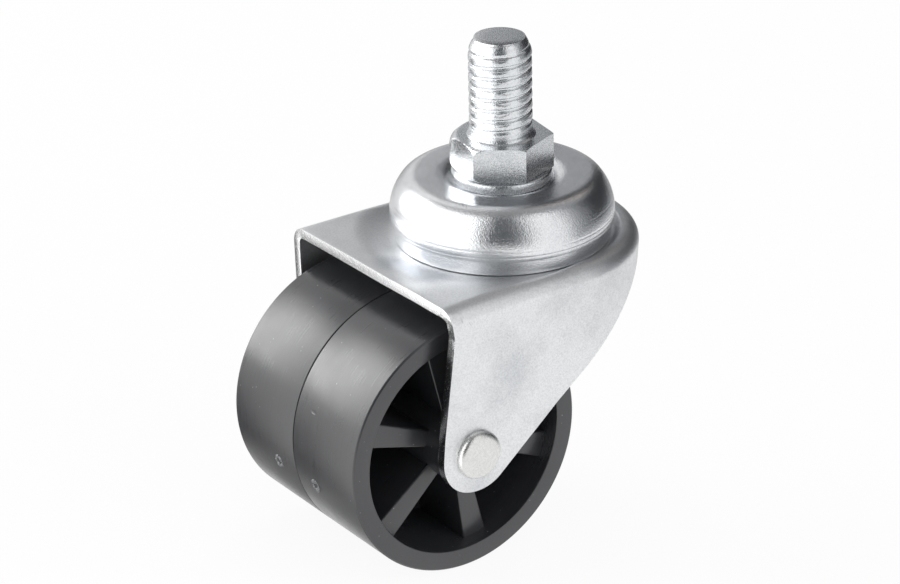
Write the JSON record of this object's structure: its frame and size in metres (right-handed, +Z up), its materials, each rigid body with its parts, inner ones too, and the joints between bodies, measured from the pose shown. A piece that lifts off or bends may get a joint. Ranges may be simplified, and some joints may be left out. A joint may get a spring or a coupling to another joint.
{
  "type": "threaded stem castor",
  "caption": "Swivel castor: threaded stem and hexagon over a ball bearing swivel head, deep drawn steel fork, and a pair of spoked moulded wheels side by side on a riveted axle.",
  "frame": {"origin": "on the swivel axis, in the top face of the hexagon, where the stem leaves it", "axes": "+Z up the threaded stem, +X towards the round nose of the fork, the wheels trail towards -X and turn about the Y axis"},
  "size_m": [0.0736, 0.0508, 0.0944],
  "materials": {
    "stem_steel": "cold headed steel, bright zinc plated, a little frosted",
    "cap_steel": "deep drawn steel, bright zinc plated, glossy with a fine grain",
    "fork_steel": "drawn and sheared steel sheet, zinc plated, satin",
    "rivet_steel": "riveted steel, zinc plated, satin with bright edges",
    "race_steel": "pressed steel, grey and lightly greased",
    "ball_steel": "ground and polished bearing steel",
    "wheel_nylon": "black injection moulded nylon, semi-gloss tread and matte faces"
  },
  "bodies": {
    "stem_head": {"stem_bolt": "stem_steel", "washer": "stem_steel", "bearing_cap": "cap_steel", "lower_race_cup": "race_steel"},
    "upper_ball_ring": {"upper_ball_1": "ball_steel", "upper_ball_2": "ball_steel", "upper_ball_3": "ball_steel", "upper_ball_4": "ball_steel", "upper_ball_5": "ball_steel", "upper_ball_6": "ball_steel", "upper_ball_7": "ball_steel", "upper_ball_8": "ball_steel", "upper_ball_9": "ball_steel", "upper_ball_10": "ball_steel", "upper_ball_11": "ball_steel", "upper_ball_12": "ball_steel", "upper_ball_13": "ball_steel", "upper_ball_14": "ball_steel", "upper_ball_15": "ball_steel", "upper_ball_16": "ball_steel", "upper_ball_17": "ball_steel", "upper_ball_18": "ball_steel", "upper_ball_19": "ball_steel", "upper_ball_20": "ball_steel"},
    "lower_ball_ring": {"lower_ball_1": "ball_steel", "lower_ball_2": "ball_steel", "lower_ball_3": "ball_steel", "lower_ball_4": "ball_steel", "lower_ball_5": "ball_steel", "lower_ball_6": "ball_steel", "lower_ball_7": "ball_steel", "lower_ball_8": "ball_steel", "lower_ball_9": "ball_steel", "lower_ball_10": "ball_steel", "lower_ball_11": "ball_steel", "lower_ball_12": "ball_steel"},
    "fork_frame": {"fork": "fork_steel", "axle_rivet": "rivet_steel", "axle_sleeve": "race_steel"},
    "left_wheel": {"wheel_left": "wheel_nylon"},
    "right_wheel": {"wheel_right": "wheel_nylon"}
  },
  "joints": [
    {"name": "swivel", "type": "hinge", "parent": "stem_head", "child": "fork_frame", "pos_m": [0, 0, 0], "axis": [0, 0, 1], "continuous": true},
    {"name": "upper_ring_orbit", "type": "hinge", "parent": "stem_head", "child": "upper_ball_ring", "pos_m": [0, 0, 0], "axis": [0, 0, 1], "continuous": true},
    {"name": "lower_ring_orbit", "type": "hinge", "parent": "stem_head", "child": "lower_ball_ring", "pos_m": [0, 0, 0], "axis": [0, 0, 1], "continuous": true},
    {"name": "left_wheel_spin", "type": "hinge", "parent": "fork_frame", "child": "left_wheel", "pos_m": [-0.0235, 0, -0.0501], "axis": [0, 1, 0], "continuous": true},
    {"name": "right_wheel_spin", "type": "hinge", "parent": "fork_frame", "child": "right_wheel", "pos_m": [-0.0235, 0, -0.0501], "axis": [0, 1, 0], "continuous": true}
  ],
  "couplings": [
    {"joint": "upper_ring_orbit", "follows": "swivel", "ratio": 0.5},
    {"joint": "lower_ring_orbit", "follows": "swivel", "ratio": 0.5}
  ]
}
